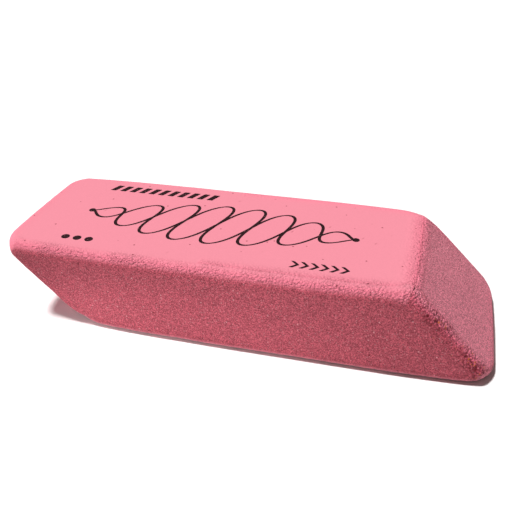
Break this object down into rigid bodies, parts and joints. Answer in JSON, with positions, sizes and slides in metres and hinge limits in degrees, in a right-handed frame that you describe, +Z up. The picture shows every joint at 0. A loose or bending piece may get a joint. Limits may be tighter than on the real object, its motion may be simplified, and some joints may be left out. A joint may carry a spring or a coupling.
{
  "type": "block eraser",
  "caption": "Bar of pink rubber with slanted ends, rounded edges and a dark printed ornament on top, for rubbing out pencil",
  "frame": {"origin": "on the plane of the base, under the middle of the whole block", "axes": "+X along the block, towards the end that slopes down and outwards; +Y across it; +Z up, out of the printed face"},
  "size_m": [0.057, 0.0206, 0.0104],
  "materials": {
    "pink_rubber": "dry matte, finely gritty",
    "printing_ink": "matte, thin"
  },
  "bodies": {
    "root": {"rubber_block": "pink_rubber", "printed_flourish": "printing_ink", "printed_bar_row": "printing_ink", "printed_dots": "printing_ink", "printed_chevrons": "printing_ink"}
  },
  "joints": []
}
